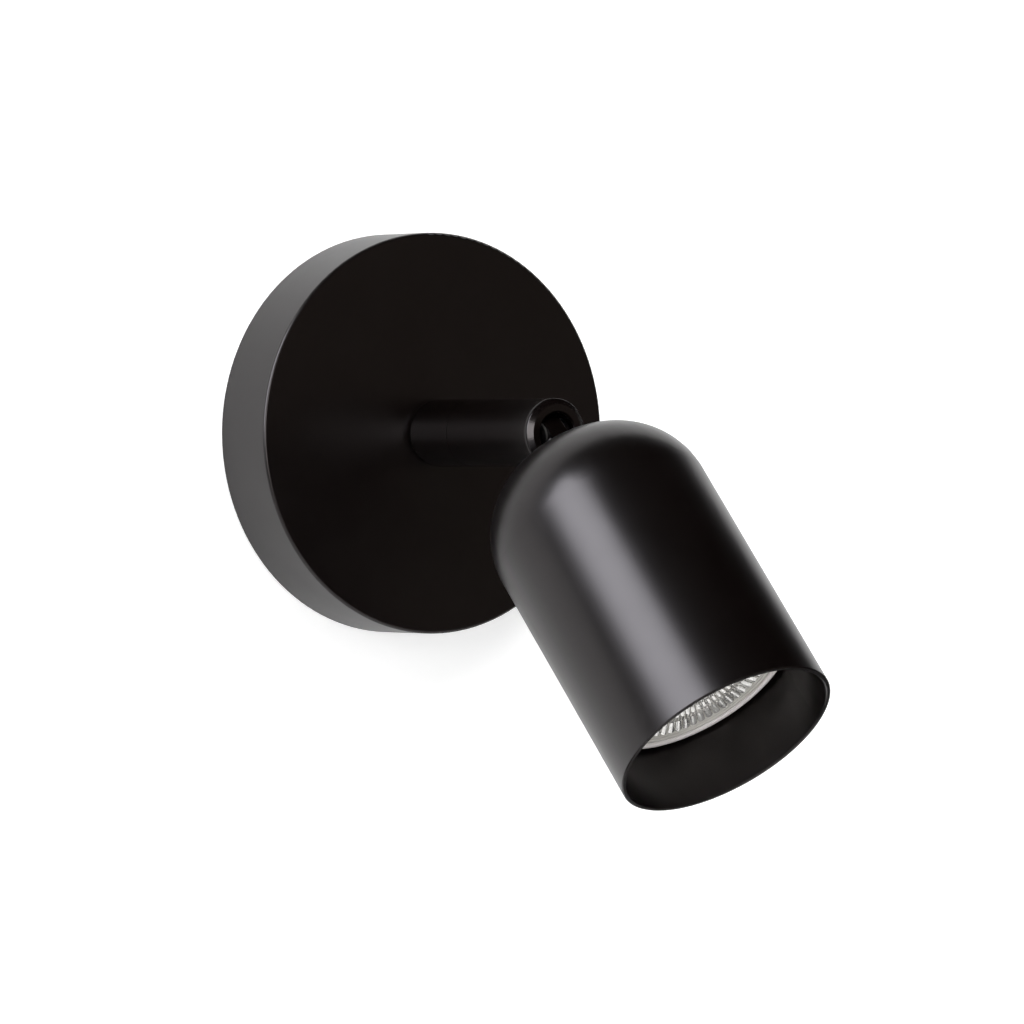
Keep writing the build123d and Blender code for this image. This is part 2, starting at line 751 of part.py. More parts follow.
def make_lamp_housing():
    """Flared shell with ledges for the LED board and the lens."""
    foot = base_flange_diameter / 2
    bead = lamp_radius - housing_wall
    seat = board_radius - board_ledge
    waist = foot + (lamp_radius - foot) * housing_flare
    middle = (base_end + board_out) / 2
    shelf = board_out - housing_wall
    return turned(
        ThreePointArc((foot, base_end), (waist, middle), (lamp_radius, board_out)),
        Polyline((lamp_radius, board_out), (lamp_radius, bezel_out), (bead, bezel_out), (bead, lens_out),
                 (board_radius + loose_fit, lens_out), (board_radius + loose_fit, board_out),
                 (seat, board_out), (seat, shelf)),
        ThreePointArc((seat, shelf), (waist - 2 * housing_wall, middle), (foot - housing_wall, base_end)),
        Line((foot - housing_wall, base_end), (foot, base_end)),
    )


def make_led_board():
    """Round board with one LED package in the middle and a circle of six."""
    top = board_out + board_thickness
    chip = block(chip_size, chip_size, top, top + chip_height)
    board = rod(2 * board_radius, board_out, top) + chip
    for place in range(chip_count):
        board += Rot(0, 0, 360 / chip_count * place) * Pos(chip_circle / 2, 0, 0) * chip
    return board


def make_lamp_lens():
    """Front optic: flange under the bezel, raised rim and boss, ribs and rings that cut the face in facets."""
    face_radius = lamp_radius - bezel_width - loose_fit
    rim = face_radius - lens_rim_width
    boss = lens_boss / 2
    face = lamp_front - lens_setback
    floor = face - lens_step
    lens = turned_points((0, lens_out), (lens_radius, lens_out), (lens_radius, bezel_out),
                         (face_radius, bezel_out), (face_radius, face), (rim, face), (rim, floor),
                         (boss, floor), (boss, face), (0, face))
    half = lens_groove / 2
    middle = (rim + boss) / 2
    groove = Pos(middle, 0, floor) * Rot(45, 0, 0) * Box(rim - boss - 2 * over, lens_groove, lens_groove)
    lens -= [Rot(0, 0, 360 / lens_ribs * rib) * groove for rib in range(lens_ribs)]
    pitch = (rim - boss) / (lens_rings + 1)
    for place in range(1, lens_rings + 1):
        radius = boss + pitch * place
        lens -= turned_points((radius - half, floor), (radius, floor - half), (radius + half, floor))
    return lens


def make_bezel():
    """Snap ring that holds the lens in the housing."""
    inner = lamp_radius - bezel_width
    return turned_points((inner, bezel_out), (lamp_radius, bezel_out), (lamp_radius, lamp_front - bezel_edge),
                         (lamp_radius - bezel_edge, lamp_front), (inner + bezel_edge, lamp_front),
                         (inner, lamp_front - bezel_edge))


# ---------------------------------------------------------------- leads
terminal_entry = terminal_up - terminal_length / 2 + sleeve_setback + over
bend_out = canopy_depth - shank_length - lead_space


def in_bore(sign):
    """Place of a lead in the collar's bore, lined up with the leads of the arm at rest."""
    angle = math.radians(rest_pan + 90)
    return sign * lead_offset * math.cos(angle), sign * lead_offset * math.sin(angle)


def make_live_lead_canopy():
    """From the left pole down, across and forward into the collar's bore."""
    x, y = in_bore(-1)
    corner = (-pole_pitch - over, y + over, bend_out + lead_offset)
    points = [(-pole_pitch, terminal_entry, barrel_out), corner, (x, y, bend_out), (x, y, spigot_end)]
    return lead(points, [lead_bend_radius, lead_bend_radius])


def make_neutral_lead_canopy():
    """From the middle pole straight down and forward into the collar's bore."""
    x, y = in_bore(1)
    return lead([(0, terminal_entry, barrel_out), (x, y, bend_out), (x, y, spigot_end)], [lead_bend_radius])


def make_earth_lead():
    """From the right pole down to the ring tag."""
    level = bracket_thickness + earth_washer_thickness + tag_barrel_diameter / 2
    start = earth_y + tag_barrel_place - tag_barrel_length / 2 + tag_stop + face_gap
    bend_y = start + earth_bend
    points = [(pole_pitch, terminal_entry, barrel_out), (pole_pitch, bend_y + earth_bend, barrel_out),
              (earth_x, bend_y, level), (earth_x, start, level)]
    return lead(points, [earth_bend, earth_bend])


def make_arm_lead(sign):
    """Straight lead from the swivel to the back of the eye."""
    eye_offset = pivot_diameter / 2 + loose_fit + lead_diameter / 2
    end = pivot_out - eye_radius - 2 * lead_gap
    return lead([(0, sign * lead_offset, spigot_end + lead_gap), (0, sign * eye_offset, end)])


def make_head_lead(sign):
    """From the stem's bore out to the back of the lampholder."""
    inner = sign * (lead_diameter / 2 + face_gap)
    outer = sign * pin_spacing / 2
    points = [(0, inner, duct_half_height + lead_diameter), (0, inner, thread_end + lead_gap),
              (0, outer, holder_out - lead_diameter / 2), (0, outer, chamber_floor)]
    return lead(points, [head_lead_bend, head_lead_bend])


# ---------------------------------------------------------------- write every piece
os.makedirs("parts", exist_ok=True)

save("wall_bracket", wall_frame, make_wall_bracket())
save("canopy", wall_frame, make_canopy())
save("canopy_screws", wall_frame, *make_canopy_screws())
save("cable_grommet", wall_frame, make_grommet())
save("terminal_block", wall_frame, make_terminal_block())
save("terminal_sleeves", wall_frame, *make_terminal_sleeves())
save("terminal_screws", wall_frame, *make_terminal_screws())
save("terminal_fixing_screw", wall_frame, make_terminal_fixing())
save("earth_screw", wall_frame, make_earth_screw())
save("earth_washer", wall_frame, make_earth_washer())
save("earth_ring_tag", wall_frame, make_earth_tag())
save("earth_lead", wall_frame, make_earth_lead())
save("live_lead_canopy", wall_frame, make_live_lead_canopy())
save("neutral_lead_canopy", wall_frame, make_neutral_lead_canopy())
save("swivel_collar", wall_frame, make_collar())
save("swivel_friction_ring", wall_frame, make_friction_ring())
save("collar_washer", wall_frame, make_collar_washer())
save("collar_nut", wall_frame, make_collar_nut())

save("arm_tube", arm_frame, make_arm())
save("swivel_grub_screw", arm_frame, make_swivel_screw())
save("pivot_screw", arm_frame, make_pivot_screw())
save("pivot_spacers", arm_frame, *make_spacers())
save("pivot_friction_washers", arm_frame, *make_friction_washers())
save("live_lead_arm", arm_frame, make_arm_lead(-1))
save("neutral_lead_arm", arm_frame, make_arm_lead(1))

save("knuckle_stem", head_frame, make_knuckle())
save("shade", head_frame, make_shade())
save("crown_washer", head_frame, make_crown_washer())
save("stem_nut", head_frame, make_stem_nut())
save("holder_bracket", head_frame, make_holder_bracket())
save("holder_screws", head_frame, *make_holder_screws())
save("lampholder", head_frame, make_lampholder())
save("lampholder_contacts", head_frame, *make_contacts())
save("live_lead_head", head_frame, make_head_lead(-1))
save("neutral_lead_head", head_frame, make_head_lead(1))

save("lamp_base", head_frame, make_lamp_base())
save("lamp_pins", head_frame, *make_lamp_pins())
save("lamp_housing", head_frame, make_lamp_housing())
save("led_board", head_frame, make_led_board())
save("lamp_lens", head_frame, make_lamp_lens())
save("lamp_bezel", head_frame, make_bezel())
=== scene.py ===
# %% [markdown]
# # Pivoting spotlight wall light
# A round canopy on the wall, a short arm that turns, and a round-topped shade that tilts on a knuckle.
# The construction is fixed: it is loaded as a frame, in metres, with the wall as the plane Y = 0.
# This lesson adds the studio, the finishes and the finest shapes round that frame.

# %% Load the construction
import bmesh
import bpy
import json
import math
from mathutils import Matrix, Vector


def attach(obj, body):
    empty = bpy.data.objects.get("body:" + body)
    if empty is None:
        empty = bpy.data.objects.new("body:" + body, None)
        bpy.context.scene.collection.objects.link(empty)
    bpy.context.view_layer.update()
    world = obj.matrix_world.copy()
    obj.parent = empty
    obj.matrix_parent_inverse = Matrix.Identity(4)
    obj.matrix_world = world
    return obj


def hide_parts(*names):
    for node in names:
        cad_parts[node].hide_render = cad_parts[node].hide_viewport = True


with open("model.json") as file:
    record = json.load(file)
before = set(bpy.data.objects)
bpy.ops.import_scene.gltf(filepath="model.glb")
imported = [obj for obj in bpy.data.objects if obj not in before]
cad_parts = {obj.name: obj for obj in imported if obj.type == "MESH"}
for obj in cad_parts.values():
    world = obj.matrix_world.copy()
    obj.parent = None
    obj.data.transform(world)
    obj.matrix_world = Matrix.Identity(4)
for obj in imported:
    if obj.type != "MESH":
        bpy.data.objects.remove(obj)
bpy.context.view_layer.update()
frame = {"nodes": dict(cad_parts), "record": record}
scene = bpy.context.scene
nodes = frame["nodes"]
slot_of_node = {row["node"]: row["material_slot"] for row in frame["record"]["subparts"]}
print("frame", len(nodes), "pieces")

# %% [markdown]
# ## Camera
# The picture was taken from a couple of metres away with a long lens, from the left and level with
# the light. A long lens keeps the circles of the canopy almost free of perspective.
# The camera could be aimed with a constraint, but a plain rotation is simpler to read and to check.

# %% Camera
CAMERA_DISTANCE = 2.0
CAMERA_AZIMUTH = math.radians(-32.53)
CAMERA_ELEVATION = math.radians(-0.15)
PICTURE_WIDTH = 1024
FOCAL_PIXELS = 7954.9
SENSOR = 36.0
CENTRE_OFFSET = (-119.93, -78.57)


def toward_camera(azimuth, elevation):
    """Unit vector from the origin to a camera on that bearing."""
    level = math.cos(elevation)
    return Vector((math.sin(azimuth) * level, -math.cos(azimuth) * level, math.sin(elevation)))


back = toward_camera(CAMERA_AZIMUTH, CAMERA_ELEVATION)
right = Vector((0, 0, 1)).cross(back).normalized()
up = back.cross(right)
aim = -back - right * (CENTRE_OFFSET[0] / FOCAL_PIXELS) + up * (CENTRE_OFFSET[1] / FOCAL_PIXELS)
camera_data = bpy.data.cameras.new("camera")
camera_data.sensor_width = SENSOR
camera_data.lens = SENSOR * FOCAL_PIXELS / PICTURE_WIDTH
camera_data.clip_start = 0.05
camera = bpy.data.objects.new("camera", camera_data)
scene.collection.objects.link(camera)
camera.rotation_mode = "QUATERNION"
camera.rotation_quaternion = aim.to_track_quat("-Z", "Y")
camera.location = back * CAMERA_DISTANCE
scene.camera = camera
scene.view_settings.view_transform = "Standard"
print("camera", [round(v, 3) for v in camera.location], "lens", round(camera_data.lens, 1), "mm")

# %% [markdown]
# ## Helpers for node trees
# Every finish is a small tree of nodes. Two helpers keep the cells short: one adds a node and sets
# its inputs, the other starts a reusable group with named sockets.


# %% Node helpers
def add_node(tree, kind, settings=None, **inputs):
    """Add one node, set its options, then set or link its inputs by name (spaces written as _)."""
    node = tree.nodes.new(kind)
    for key, value in (settings or {}).items():
        setattr(node, key, value)
    for key, value in inputs.items():
        socket = node.inputs[int(key[1:])] if key[1:].isdigit() else node.inputs[key.replace("_", " ")]
        if isinstance(value, bpy.types.NodeSocket):
            tree.links.new(value, socket)
        else:
            socket.default_value = value
    return node


def calculate(tree, operation, a, b=0.0, c=0.0, clamp=False):
    """One Math node; gives its output socket."""
    settings = {"operation": operation, "use_clamp": clamp}
    return add_node(tree, "ShaderNodeMath", settings, i0=a, i1=b, i2=c).outputs[0]


def remap(tree, value, low, high, start=0.0, end=1.0):
    """Map Range from low..high to start..end, clamped; gives its output socket."""
    node = add_node(tree, "ShaderNodeMapRange", None, Value=value, From_Min=low, From_Max=high)
    node.inputs["To Min"].default_value = start
    node.inputs["To Max"].default_value = end
    return node.outputs["Result"]


def blend_colours(tree, factor, first, second):
    """Mix two colours; gives the output socket."""
    node = add_node(tree, "ShaderNodeMix", {"data_type": "RGBA"})
    for socket, value in ((node.inputs[0], factor), (node.inputs[6], first), (node.inputs[7], second)):
        if isinstance(value, bpy.types.NodeSocket):
            tree.links.new(value, socket)
        else:
            socket.default_value = value
    return node.outputs[2]


def start_group(name, inputs, outputs):
    """New shader node group; gives the tree, its input node and its output node."""
    tree = bpy.data.node_groups.new(name, "ShaderNodeTree")
    for label, value in inputs.items():
        tree.interface.new_socket(label, in_out="INPUT", socket_type="NodeSocketFloat").default_value = value
    for label in outputs:
        tree.interface.new_socket(label, in_out="OUTPUT", socket_type="NodeSocketFloat")
    return tree, tree.nodes.new("NodeGroupInput"), tree.nodes.new("NodeGroupOutput")


def rgba(colour):
    """Colour with full alpha."""
    return (*colour, 1.0)


# %% [markdown]
# ## Surface effects shared by several finishes
# No real surface is one flat colour. Three groups cover what these parts show up close:
# a pebbled skin (powder coat and moulded plastic), fine lines (turned or rolled metal), and thinning
# of the coat along edges. Each puts out plain values, so a material decides what they drive.


# %% Pebbled skin
def make_skin_group():
    """Fine pebble height, slow patches and rare specks, all from object coordinates in metres."""
    tree, inputs, outputs = start_group(
        "pebbled_skin", {"Pebble Size": 0.0006, "Patch Size": 0.03}, ["Pebble", "Patch", "Speck"])
    place = add_node(tree, "ShaderNodeTexCoord").outputs["Object"]
    fine = calculate(tree, "DIVIDE", 1.0, inputs.outputs["Pebble Size"])
    slow = calculate(tree, "DIVIDE", 1.0, inputs.outputs["Patch Size"])
    pebble = add_node(tree, "ShaderNodeTexNoise", None, Vector=place, Scale=fine, Detail=3.0, Roughness=0.55)
    patch = add_node(tree, "ShaderNodeTexNoise", None, Vector=place, Scale=slow, Detail=4.0, Roughness=0.6)
    cells = add_node(tree, "ShaderNodeTexVoronoi", None, Vector=place, Scale=fine, Randomness=1.0)
    rare = remap(tree, cells.outputs["Distance"], 0.05, 0.14, 1.0, 0.0)
    sparse = remap(tree, patch.outputs["Fac"], 0.5, 0.7)
    tree.links.new(pebble.outputs["Fac"], outputs.inputs["Pebble"])
    tree.links.new(patch.outputs["Fac"], outputs.inputs["Patch"])
    tree.links.new(calculate(tree, "MULTIPLY", rare, sparse), outputs.inputs["Speck"])
    return tree


skin_group = make_skin_group()
print("group", skin_group.name, [s.name for s in skin_group.interface.items_tree])


# %% Fine lines
def make_lines_group():
    """Lines left by rolling or turning: noise that is stretched along one axis."""
    tree, inputs, outputs = start_group("fine_lines", {"Line Width": 0.0002, "Line Length": 0.02},
                                        ["Lines", "Cloud"])
    place = add_node(tree, "ShaderNodeTexCoord").outputs["Object"]
    across = calculate(tree, "DIVIDE", 1.0, inputs.outputs["Line Width"])
    along = calculate(tree, "DIVIDE", 1.0, inputs.outputs["Line Length"])
    stretch = add_node(tree, "ShaderNodeCombineXYZ", None, X=along, Y=across, Z=across).outputs[0]
    moved = add_node(tree, "ShaderNodeVectorMath", {"operation": "MULTIPLY"}, i0=place, i1=stretch).outputs[0]
    lines = add_node(tree, "ShaderNodeTexNoise", None, Vector=moved, Scale=1.0, Detail=2.0, Roughness=0.5)
    cloud = add_node(tree, "ShaderNodeTexNoise", None, Vector=place, Scale=along, Detail=3.0, Roughness=0.6)
    tree.links.new(lines.outputs["Fac"], outputs.inputs["Lines"])
    tree.links.new(cloud.outputs["Fac"], outputs.inputs["Cloud"])
    return tree


lines_group = make_lines_group()
print("group", lines_group.name)


# %% Edge wear
def make_edge_group():
    """Mask that is 1 where the surface bends sharply within a radius, broken up by noise."""
    tree, inputs, outputs = start_group("edge_wear", {"Radius": 0.0004, "Amount": 1.0}, ["Mask"])
    rounded = add_node(tree, "ShaderNodeBevel", {"samples": 4}, Radius=inputs.outputs["Radius"])
    flat = add_node(tree, "ShaderNodeNewGeometry")
    same = add_node(tree, "ShaderNodeVectorMath", {"operation": "DOT_PRODUCT"}, i0=rounded.outputs[0],
                    i1=flat.outputs["Normal"]).outputs["Value"]
    bend = remap(tree, same, 0.70, 0.90, 1.0, 0.0)
    place = add_node(tree, "ShaderNodeTexCoord").outputs["Object"]
    noise = add_node(tree, "ShaderNodeTexNoise", None, Vector=place, Scale=900.0, Detail=3.0).outputs["Fac"]
    broken = calculate(tree, "MULTIPLY", bend, remap(tree, noise, 0.35, 0.6))
    tree.links.new(calculate(tree, "MULTIPLY", broken, inputs.outputs["Amount"]), outputs.inputs["Mask"])
    return tree


edge_group = make_edge_group()
print("group", edge_group.name)

# %% [markdown]
# ## Finishes
# Each finish is one material with a Principled shader. Numbers that are the same all over are set on
# the shader's own sockets; what varies over the surface comes from the groups.


# %% Finish helpers
def start_material(name, **sockets):
    """New material with its Principled shader; sockets that are constant are set at once."""
    material = bpy.data.materials.new(name)
    material.use_nodes = True
    tree = material.node_tree
    tree.nodes.clear()
    shader = add_node(tree, "ShaderNodeBsdfPrincipled", None, **sockets)
    output = tree.nodes.new("ShaderNodeOutputMaterial")
    tree.links.new(shader.outputs[0], output.inputs["Surface"])
    return material, tree, shader


def place_group(tree, group, **values):
    """Put a shared group in a material with its own values; gives its outputs."""
    node = tree.nodes.new("ShaderNodeGroup")
    node.node_tree = group
    for key, value in values.items():
        node.inputs[key.replace("_", " ")].default_value = value
    return node.outputs


def add_bump(tree, shader, height, depth, strength=1.0):
    """Bump of a depth in metres on the shader's normal."""
    bump = add_node(tree, "ShaderNodeBump", None, Height=height, Distance=depth, Strength=strength)
    tree.links.new(bump.outputs[0], shader.inputs["Normal"])


finishes = {}


def coated(name, dark, light, rough, pebble, depth, patch=0.03, grain=0.5, **sockets):
    """Painted or moulded skin: two tones in slow patches, pebble bump, roughness that drifts.

    grain is the pebble's part in the roughness; the slow patches have the rest."""
    material, tree, shader = start_material(name, **sockets)
    skin = place_group(tree, skin_group, Pebble_Size=pebble, Patch_Size=patch)
    tone = remap(tree, skin["Patch"], 0.35, 0.65)
    speckled = blend_colours(tree, calculate(tree, "MULTIPLY", skin["Speck"], 0.35), rgba(dark), rgba(light))
    tree.links.new(blend_colours(tree, calculate(tree, "MULTIPLY", tone, 0.6), speckled, rgba(light)),
                   shader.inputs["Base Color"])
    drift = calculate(tree, "ADD", calculate(tree, "MULTIPLY", tone, 1.0 - grain),
                      calculate(tree, "MULTIPLY", skin["Pebble"], grain))
    tree.links.new(remap(tree, drift, 0.2, 0.8, *rough), shader.inputs["Roughness"])
    add_bump(tree, shader, skin["Pebble"], depth)
    finishes[name] = material
    return tree, shader, skin


def metal(name, dark, light, rough, width, length, depth, **sockets):
    """Bare or plated metal: fine lines, cloudy tone and a roughness that follows both."""
    material, tree, shader = start_material(name, Metallic=1.0, **sockets)
    lines = place_group(tree, lines_group, Line_Width=width, Line_Length=length)
    tone = remap(tree, lines["Cloud"], 0.35, 0.65)
    tree.links.new(blend_colours(tree, tone, rgba(dark), rgba(light)), shader.inputs["Base Color"])
    mixed = calculate(tree, "ADD", calculate(tree, "MULTIPLY", lines["Lines"], 0.6),
                      calculate(tree, "MULTIPLY", tone, 0.4))
    tree.links.new(remap(tree, mixed, 0.2, 0.8, *rough), shader.inputs["Roughness"])
    add_bump(tree, shader, lines["Lines"], depth)
    finishes[name] = material


# %% [markdown]
# ### Satin black lacquer
# The canopy, arm, knuckle and shade share one satin black coat. It is almost black where it faces the
# room and shows the studio as soft, slightly warm reflections. Up close it has a faint orange-peel
# pebble, and the coat is a little paler along edges. Its roughness starts at 0.28, because a range
# of 0.265 to 0.30 left hard-edged marks on the shade that one roughness of 0.28 did not.

# %% Black lacquer
LACQUER_DARK = (0.0020, 0.0012, 0.0011)
LACQUER_LIGHT = (0.0028, 0.0018, 0.0016)
LACQUER_WORN = (0.012, 0.010, 0.009, 1.0)
LACQUER_TINT = (1.0, 0.93, 0.94, 1.0)
PEBBLE_SIZE, PEBBLE_DEPTH, PATCH_SIZE, PEBBLE_IN_GLOSS = 0.0009, 0.0000008, 0.025, 0.15
WEAR_RADIUS, WEAR_AMOUNT = 0.0004, 0.5


def lacquer(name, rough):
    """Satin black coat; rough is the range of its roughness."""
    tree, shader, _ = coated(name, LACQUER_DARK, LACQUER_LIGHT, rough, PEBBLE_SIZE, PEBBLE_DEPTH,
                             patch=PATCH_SIZE, grain=PEBBLE_IN_GLOSS, IOR=1.46)
    shader.inputs["Specular Tint"].default_value = LACQUER_TINT
    wear = place_group(tree, edge_group, Radius=WEAR_RADIUS, Amount=WEAR_AMOUNT)
    coat = shader.inputs["Base Color"].links[0].from_socket
    tree.links.new(blend_colours(tree, wear["Mask"], coat, LACQUER_WORN), shader.inputs["Base Color"])
    return finishes[name]


lacquer("black_lacquer", (0.28, 0.305))
bright_lacquer = lacquer("black_lacquer_turned", (0.17, 0.22))
print("lacquers", finishes["black_lacquer"].name, bright_lacquer.name)

# %% [markdown]
# ### The other finishes
# Zinc-plated steel for the bracket and washers, blackened steel for the socket screws, brass for the
# terminals, ceramic for the holder, and the plastics of the terminal block, lamp and wire sleeves.

# %% Metals
metal("zinc_steel", (0.50, 0.51, 0.52), (0.66, 0.66, 0.62), (0.28, 0.44), 0.00018, 0.02, 0.000006)
metal("black_steel", (0.030, 0.030, 0.032), (0.060, 0.060, 0.064), (0.28, 0.42), 0.00015, 0.006, 0.000004)
metal("brass", (0.66, 0.47, 0.18), (0.82, 0.63, 0.30), (0.28, 0.38), 0.00015, 0.006, 0.000004)

# %% Plastics, rubber and ceramic
coated("black_rubber", (0.018, 0.018, 0.018), (0.034, 0.033, 0.032), (0.55, 0.72), 0.0004, 0.00001)
coated("natural_nylon", (0.76, 0.73, 0.64), (0.84, 0.82, 0.75), (0.38, 0.50), 0.0005, 0.000004,
       Subsurface_Weight=0.1)
# Near-black nylon is painted shade: it darkens the pale nylon pivot washers deep in the arm's mouth.
coated("nylon_painted_shade", (0.030, 0.029, 0.028), (0.050, 0.048, 0.046), (0.38, 0.50), 0.0005, 0.000004)
coated("white_plastic", (0.80, 0.79, 0.76), (0.87, 0.86, 0.84), (0.34, 0.46), 0.0006, 0.000005,
       Subsurface_Weight=0.05)
coated("steatite", (0.80, 0.77, 0.70), (0.88, 0.86, 0.81), (0.28, 0.38), 0.0007, 0.000008)
coated("lamp_white", (0.76, 0.715, 0.70), (0.83, 0.785, 0.77), (0.28, 0.36), 0.0006, 0.000003)
coated("board", (0.78, 0.79, 0.76), (0.86, 0.86, 0.84), (0.40, 0.52), 0.0004, 0.000004)
coated("live_sleeve", (0.16, 0.065, 0.028), (0.21, 0.095, 0.045), (0.34, 0.46), 0.0005, 0.000004)
coated("neutral_sleeve", (0.022, 0.12, 0.42), (0.035, 0.17, 0.52), (0.34, 0.46), 0.0005, 0.000004)
print("finishes", sorted(finishes))

# %% [markdown]
# The earth lead's sleeve is green with a yellow stripe. The stripe runs along the wire, so it is drawn
# from the direction across it rather than from a picture.

# %% Earth sleeve
tree, shader, _ = coated("earth_sleeve", (0.06, 0.26, 0.05), (0.09, 0.33, 0.07), (0.34, 0.46), 0.0005,
                         0.000004)
facing = add_node(tree, "ShaderNodeNewGeometry").outputs["Normal"]
sideways = add_node(tree, "ShaderNodeSeparateXYZ", None, Vector=facing).outputs["X"]
stripe = remap(tree, calculate(tree, "ABSOLUTE", sideways), 0.52, 0.58)
striped = blend_colours(tree, stripe, (0.82, 0.66, 0.03, 1.0),
                        shader.inputs["Base Color"].links[0].from_socket)
tree.links.new(striped, shader.inputs["Base Color"])

# %% [markdown]
# ### Lens plastic
# The lamp's front is a moulded optic that looks pale grey. Its flat parts scatter the light like milky
# plastic; its facets mirror the light inside the plastic, so they flash white. Tracing that light
# through the plastic is slow and noisy, so the facets are a soft mirror here.

# %% Lens plastic
coated("lens_plastic", (0.56, 0.54, 0.50), (0.66, 0.64, 0.60), (0.18, 0.25), 0.0008, 0.000002, patch=0.01,
       IOR=1.5)
tree, shader, skin = coated("lens_facet", (0.80, 0.79, 0.76), (0.90, 0.89, 0.86), (0.10, 0.20), 0.0005,
                            0.000002, patch=0.004, IOR=1.5)
flash = remap(tree, skin["Patch"], 0.3, 0.7, 0.45, 0.90)
tree.links.new(flash, shader.inputs["Metallic"])
print("finish lens_plastic and lens_facet")

# %% Put the finishes on the construction
# Arm, knuckle and collar take the glossier turned lacquer; the pivot washers take the near-black nylon, which
# is painted shade.
TURNED_OR_SHADED = {"arm_tube": bright_lacquer, "knuckle_stem": bright_lacquer, "swivel_collar": bright_lacquer,
          "pivot_friction_washers": finishes["nylon_painted_shade"]}
for name, node in nodes.items():
    for slot in node.material_slots:
        slot.material = TURNED_OR_SHADED.get(name, finishes[slot_of_node[name]])
print("finished", len(nodes), "pieces with", len(set(slot_of_node.values())), "finishes")

# %% [markdown]
# ## Frames of the moving parts
# The arm stands turned by its rest angle about the wall's normal, and the head hangs tilted from the
# pivot. Both angles and the pivot are the construction's own, so a shape drawn along the head's axis
# lands in its place.

# %% Head frame
ARM_TURN = math.radians(9.0)
HEAD_TILT = math.radians(51.5)
PIVOT = Vector((0.0, -0.0712, 0.0))
arm_turn = Matrix.Rotation(-ARM_TURN, 4, "Y")
head_x = arm_turn @ Vector((1, 0, 0))
arm_up = arm_turn @ Vector((0, 0, 1))
head_z = Vector((0, -1, 0)) * math.cos(HEAD_TILT) - arm_up * math.sin(HEAD_TILT)
head_y = head_z.cross(head_x)
head_frame = Matrix((head_x, head_y, head_z)).transposed().to_4x4()
head_frame.translation = PIVOT
print("head axis", [round(v, 4) for v in head_z])

# %% [markdown]
# ## Lamp lens
# A spot lamp's lens is a disc with rows of small raised facets round its middle. Each row repeats one
# wedge 24 to 120 times, which is what Geometry Nodes are for: one tree draws a wedge from named sizes
# and turns copies of it round the axis. The disc itself is a turned outline.


# %% Mesh helpers
def link_mesh(name, build, material=None):
    """New object whose mesh is made by a function that fills a bmesh."""
    mesh = bpy.data.meshes.new(name)
    work = bmesh.new()
    build(work)
    work.to_mesh(mesh)
    work.free()
    thing = bpy.data.objects.new(name, mesh)
    scene.collection.objects.link(thing)
    if material:
        mesh.materials.append(material)
    return thing


def lathe(work, outline, sides=96, closed=True):
    """Turn an outline of (radius, height) points round Z; points on the axis become one vertex."""
    loops = []
    for radius, height in outline:
        count = 1 if radius < 1e-7 else sides
        loops.append([work.verts.new((radius * math.cos(math.tau * i / sides),
                                      radius * math.sin(math.tau * i / sides), height))
                      for i in range(count)])
    pairs = list(zip(loops, loops[1:])) + ([(loops[-1], loops[0])] if closed else [])
    for first, second in pairs:
        for i in range(sides):
            ring = [first[i % len(first)], first[(i + 1) % len(first)],
                    second[(i + 1) % len(second)], second[i % len(second)]]
            corners = [v for n, v in enumerate(ring) if v not in ring[:n]]
            if len(corners) > 2:
                work.faces.new(corners)
    bmesh.ops.recalc_face_normals(work, faces=work.faces)


# %% Facet tree
def node_value(tree, kind, settings=None, **inputs):
    """First output of a new node."""
    return add_node(tree, kind, settings, **inputs).outputs[0]


